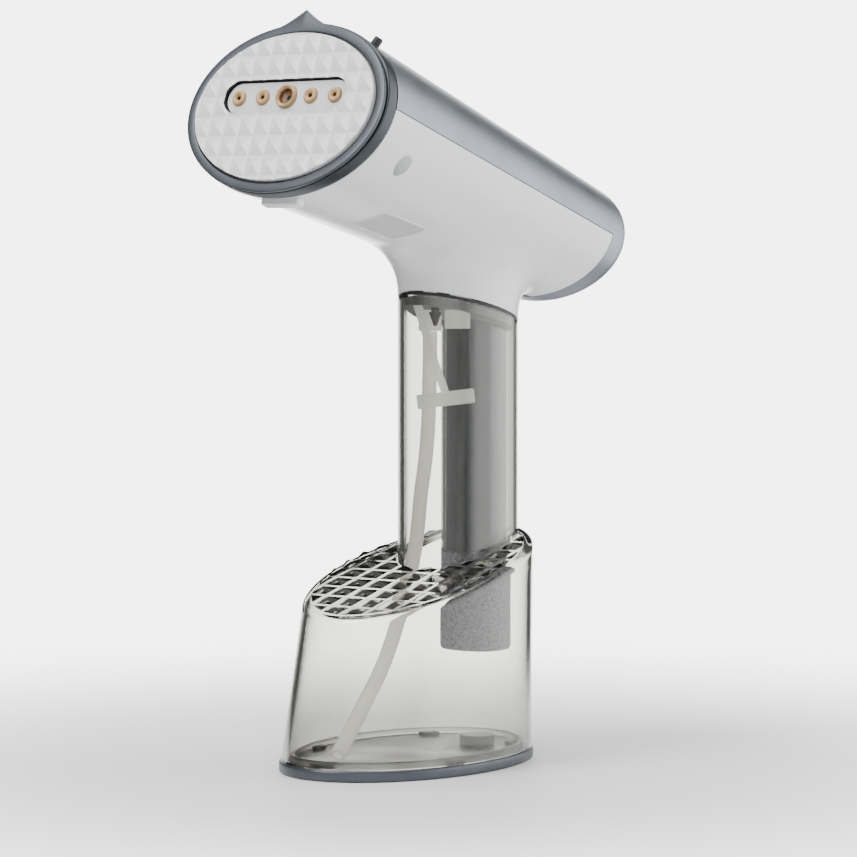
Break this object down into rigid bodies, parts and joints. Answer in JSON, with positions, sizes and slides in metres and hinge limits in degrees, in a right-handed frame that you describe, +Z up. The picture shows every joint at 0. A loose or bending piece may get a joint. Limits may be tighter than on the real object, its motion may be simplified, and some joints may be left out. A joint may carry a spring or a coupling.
{
  "type": "handheld garment steamer",
  "caption": "Handheld garment steamer: white and grey head with an oval steam plate, standing on a clear water tank that is also its handle.",
  "frame": {"origin": "centre of the base underside, on the surface that the steamer stands on", "axes": "+Z up, -Y towards the steam plate, +X to the steamer side that has the blank label"},
  "size_m": [0.0892, 0.1865, 0.2749],
  "materials": {
    "clear_plastic": "clear moulded, gloss",
    "white_plastic": "gloss",
    "grey_metallic": "satin metallic",
    "dark_grey": "satin",
    "white_plate": "smooth ceramic coat",
    "grey_plastic": "fine texture",
    "beige_nozzle": "moulded heat-resistant resin",
    "silicone": "milky, satin",
    "black_rubber": "matte",
    "steel": "zinc plated",
    "cast_aluminium": "die cast",
    "coil_wrap": "tape wrapped",
    "board": "solder mask",
    "amber_lens": "gloss",
    "graphite_seal": "fibre gasket",
    "wire_red": "insulation"
  },
  "bodies": {
    "tank": {"tank_base": "clear_plastic", "handle_column": "clear_plastic", "tank_floor": "clear_plastic", "foot_plate": "grey_metallic", "foot_screws": "steel", "rubber_feet": "black_rubber", "drain_plug": "grey_plastic", "tank_cap": "grey_plastic", "tank_seal": "black_rubber", "tube_connector": "silicone", "suction_tube": "silicone", "vent_valve": "black_rubber", "plug_tether": "silicone"},
    "filler_plug": {"filler_plug": "silicone"},
    "head": {"main_casing": "white_plastic", "top_cover": "grey_metallic", "rear_panel": "grey_plastic", "collar_ring": "dark_grey", "front_bezel": "grey_metallic", "face_gasket": "black_rubber", "steam_plate": "white_plate", "nozzle_strip": "white_plastic", "side_nozzles": "beige_nozzle", "centre_nozzle": "beige_nozzle", "accessory_nubs": "dark_grey", "rating_plate": "white_plastic", "indicator_lens": "amber_lens", "cord_gland": "black_rubber", "casing_screws": "steel", "handle_spine": "grey_metallic", "spine_tip": "grey_metallic", "neck_plate": "grey_plastic", "spine_screws": "steel", "water_spigot": "silicone", "spigot_seal": "black_rubber", "inlet_hose": "silicone", "pump_body": "steel", "pump_coil": "coil_wrap", "pump_spring": "steel", "pump_mounts": "black_rubber", "outlet_hose": "silicone", "heater_block": "cast_aluminium", "heater_gasket": "graphite_seal", "heater_cover": "cast_aluminium", "heater_element": "steel", "thermostat": "dark_grey", "thermal_fuse": "beige_nozzle", "heat_shield": "steel", "nozzle_manifold": "cast_aluminium", "control_board": "board", "microswitch": "dark_grey", "button_spring": "steel", "latch_spring": "steel", "wiring_loom": "wire_red"},
    "release_tab": {"release_tab": "white_plastic"},
    "steam_button": {"steam_button": "grey_plastic"},
    "power_button": {"power_button": "grey_plastic"},
    "latch_button": {"latch_button": "grey_plastic"},
    "pump_plunger": {"pump_plunger": "steel"}
  },
  "joints": [
    {"name": "head_lift", "type": "slide", "parent": "tank", "child": "head", "axis": [0, 0, 1], "range_m": [0, 0.135]},
    {"name": "filler_plug_pull", "type": "slide", "parent": "tank", "child": "filler_plug", "axis": [0, 0, 1], "range_m": [0, 0.008]},
    {"name": "release_tab_press", "type": "slide", "parent": "head", "child": "release_tab", "axis": [0, 0.3437, 0.9391], "range_m": [0, 0.0015], "stiffness_N_per_m": 800, "springref_m": -0.0005},
    {"name": "steam_button_press", "type": "slide", "parent": "head", "child": "steam_button", "axis": [0, -1, 0], "range_m": [0, 0.0015], "stiffness_N_per_m": 800, "springref_m": -0.0005},
    {"name": "power_button_press", "type": "slide", "parent": "head", "child": "power_button", "axis": [0, -0.9391, 0.3437], "range_m": [0, 0.0008], "stiffness_N_per_m": 800, "springref_m": -0.0005},
    {"name": "latch_button_press", "type": "slide", "parent": "head", "child": "latch_button", "axis": [1, 0, 0], "range_m": [0, 0.002], "stiffness_N_per_m": 800, "springref_m": -0.0005},
    {"name": "pump_stroke", "type": "slide", "parent": "head", "child": "pump_plunger", "axis": [0, 0.9391, -0.3437], "range_m": [0, 0.003], "stiffness_N_per_m": 900, "springref_m": -0.001}
  ]
}
